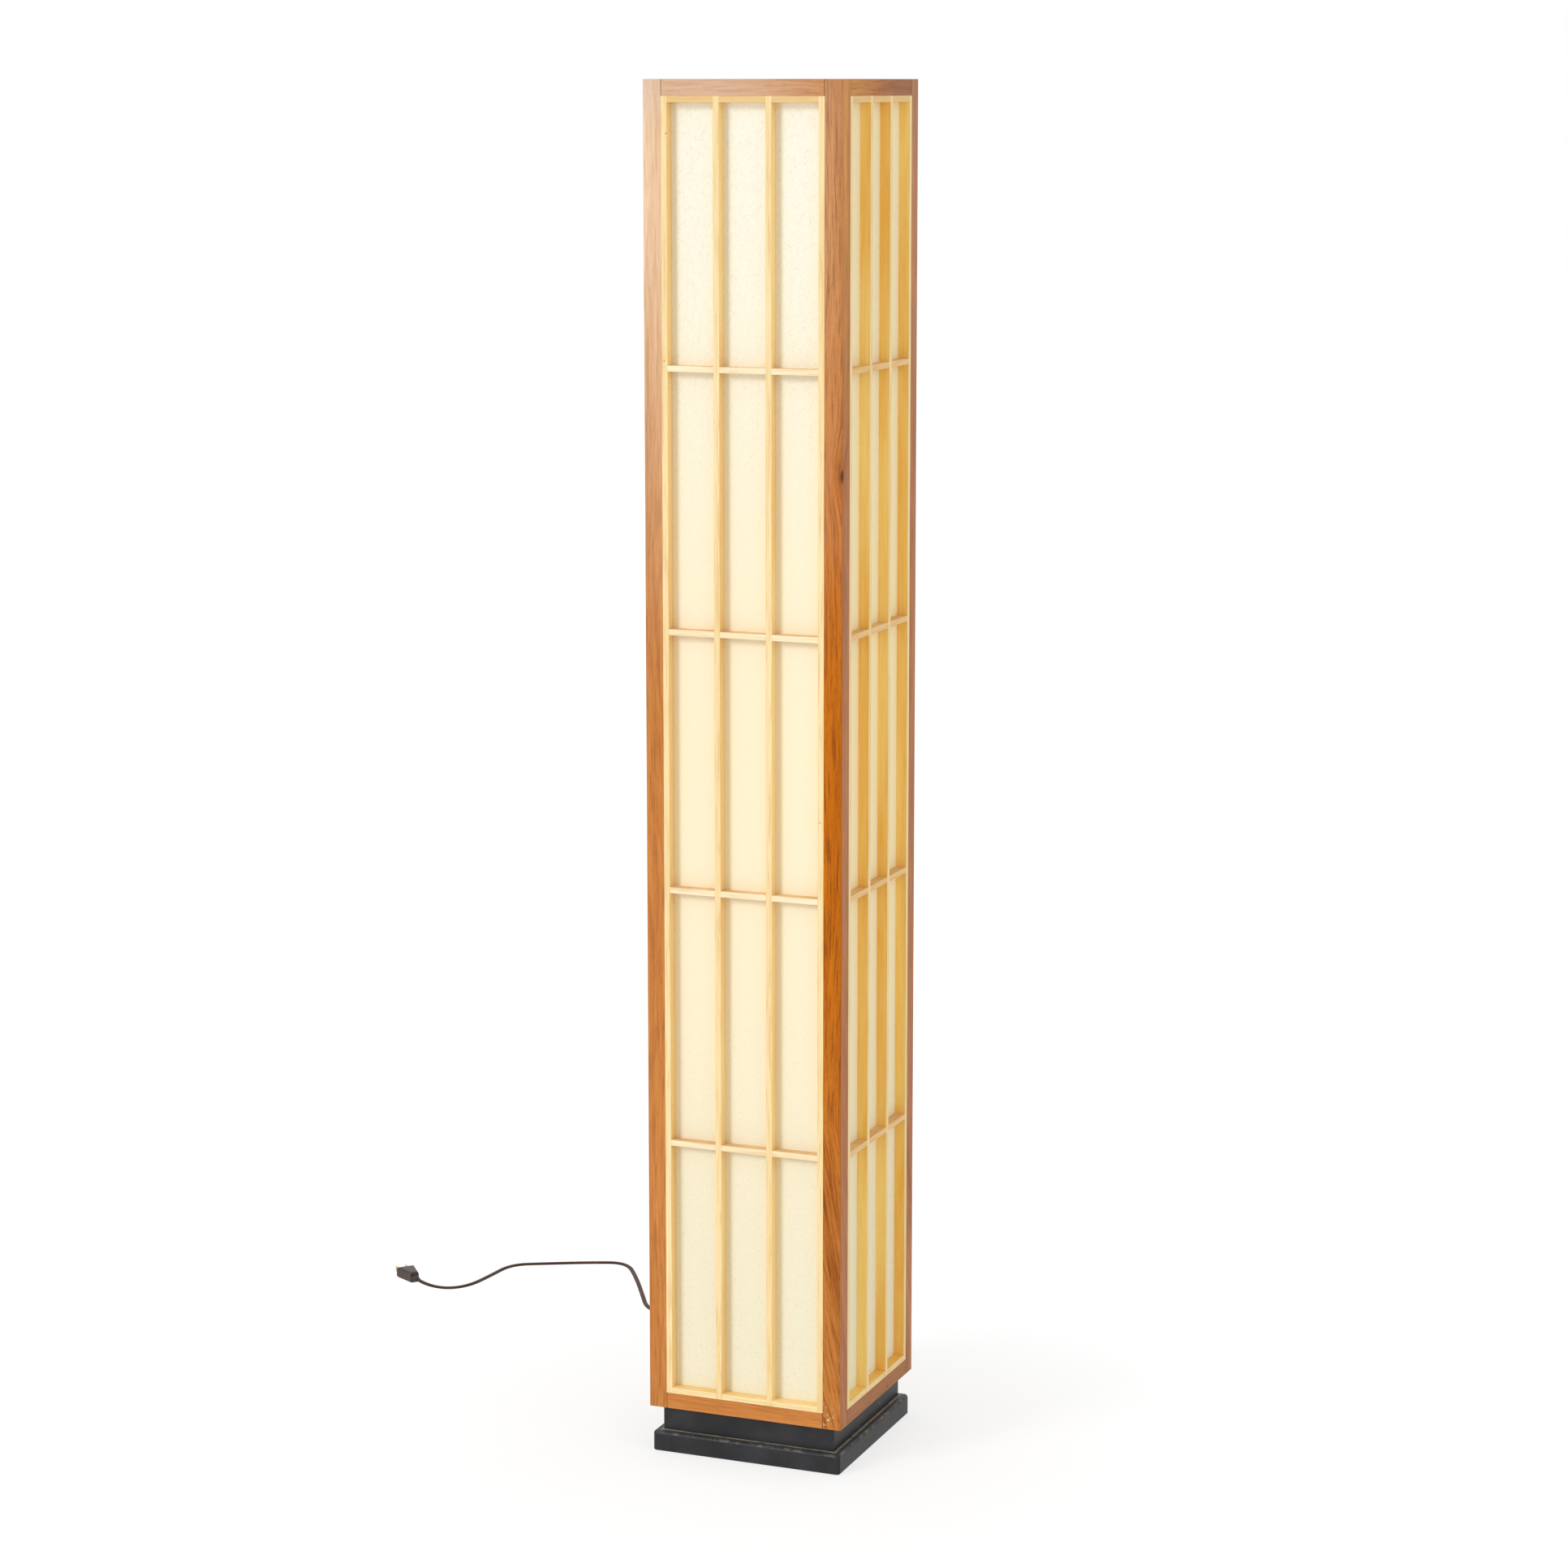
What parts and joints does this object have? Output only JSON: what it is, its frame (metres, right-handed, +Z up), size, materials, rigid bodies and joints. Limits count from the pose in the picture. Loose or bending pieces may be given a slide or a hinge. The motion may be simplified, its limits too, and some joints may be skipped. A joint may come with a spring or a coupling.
{
  "type": "andon floor lamp",
  "caption": "Tall square floor lamp: wooden posts with shoji lattice and paper panels on a black plinth, a hinged rear panel, bulbs inside and a cord with an in-line switch",
  "frame": {"origin": "centre of the slab's underside, on the floor, at the face that floor_rest names", "axes": "+Z up along the tower; the front faces -Y and the right side +X; the hinged panel is the rear one, at +Y, where the cord leaves the neck"},
  "size_m": [0.7995, 0.6284, 1.52],
  "materials": {
    "frame_wood": "oiled walnut-brown hardwood, satin, faded pale near the top",
    "lattice_wood": "pale planed softwood, unfinished and yellowed",
    "paper": "cream fibrous handmade paper, matt",
    "black_paint": "wood painted satin black, chipped at the edges",
    "board_wood": "plain plywood, unfinished",
    "hinge_brass": "satin brass",
    "screw_steel": "zinc-plated steel",
    "arm_steel": "zinc-plated sheet steel",
    "magnet": "dark grey sintered ferrite",
    "porcelain": "white glazed porcelain",
    "shell_brass": "bright pressed brass",
    "bulb_glass": "opal white glass",
    "bulb_cap": "bright pressed aluminium with a rolled thread",
    "wire_sheath": "off-white sleeved lamp wire",
    "cord_sheath": "brown flexible lamp cord, slightly glossy",
    "cord_fittings": "moulded brown plastic, satin",
    "rocker_plastic": "dark brown gloss plastic",
    "tie_plastic": "black strap",
    "blade_brass": "bright brass blades"
  },
  "bodies": {
    "stand": {"arm_screws": "screw_steel", "base_slab": "black_paint", "bottom_board": "board_wood", "bottom_rail_back": "frame_wood", "bottom_rail_front": "frame_wood", "bottom_rail_left": "frame_wood", "bottom_rail_right": "frame_wood", "catch_magnet": "magnet", "coil_tie": "tie_plastic", "cord_bushing": "cord_fittings", "cord_coil": "cord_sheath", "cord_lead": "cord_sheath", "cord_link": "cord_sheath", "cord_run": "cord_sheath", "door_stop_strips": "lattice_wood", "frame_hinge_leaves": "hinge_brass", "frame_hinge_screws": "hinge_brass", "front_lattice_crossbars": "lattice_wood", "front_lattice_frame": "lattice_wood", "front_lattice_uprights": "lattice_wood", "front_paper": "paper", "hinge_pins": "hinge_brass", "holder_arms": "arm_steel", "holder_shells": "shell_brass", "holder_wires": "wire_sheath", "lamp_holders": "porcelain", "left_lattice_crossbars": "lattice_wood", "left_lattice_frame": "lattice_wood", "left_lattice_uprights": "lattice_wood", "left_paper": "paper", "neck_boards": "black_paint", "plinth_screws": "screw_steel", "plug_blades": "blade_brass", "plug_body": "cord_fittings", "post_back_left": "frame_wood", "post_back_right": "frame_wood", "post_front_left": "frame_wood", "post_front_right": "frame_wood", "right_lattice_crossbars": "lattice_wood", "right_lattice_frame": "lattice_wood", "right_lattice_uprights": "lattice_wood", "right_paper": "paper", "switch_case": "cord_fittings", "top_rail_back": "frame_wood", "top_rail_front": "frame_wood", "top_rail_left": "frame_wood", "top_rail_right": "frame_wood"},
    "door": {"door_lattice_frame": "lattice_wood", "door_lattice_uprights": "lattice_wood", "door_lattice_crossbars": "lattice_wood", "door_paper": "paper", "door_hinge_leaves": "hinge_brass", "door_hinge_screws": "hinge_brass", "door_strike": "arm_steel"},
    "lower_bulb": {"lower_bulb_glass": "bulb_glass", "lower_bulb_cap": "bulb_cap"},
    "upper_bulb": {"upper_bulb_glass": "bulb_glass", "upper_bulb_cap": "bulb_cap"},
    "rocker": {"switch_rocker": "rocker_plastic"}
  },
  "joints": [
    {"name": "door_swing", "type": "hinge", "parent": "stand", "child": "door", "pos_m": [0.0931, 0.1169, 0.78625], "axis": [0, 0, -1], "range_deg": [0, 110]},
    {"name": "lower_bulb_turn", "type": "hinge", "parent": "stand", "child": "lower_bulb", "pos_m": [0, 0, 0.3885], "axis": [0, 0, 1], "continuous": true},
    {"name": "upper_bulb_turn", "type": "hinge", "parent": "stand", "child": "upper_bulb", "pos_m": [0, 0, 0.9585], "axis": [0, 0, 1], "continuous": true},
    {"name": "rocker_tip", "type": "hinge", "parent": "stand", "child": "rocker", "pos_m": [0, 0.25, 0.0147], "axis": [-1, 0, 0], "range_deg": [0, 16]}
  ]
}
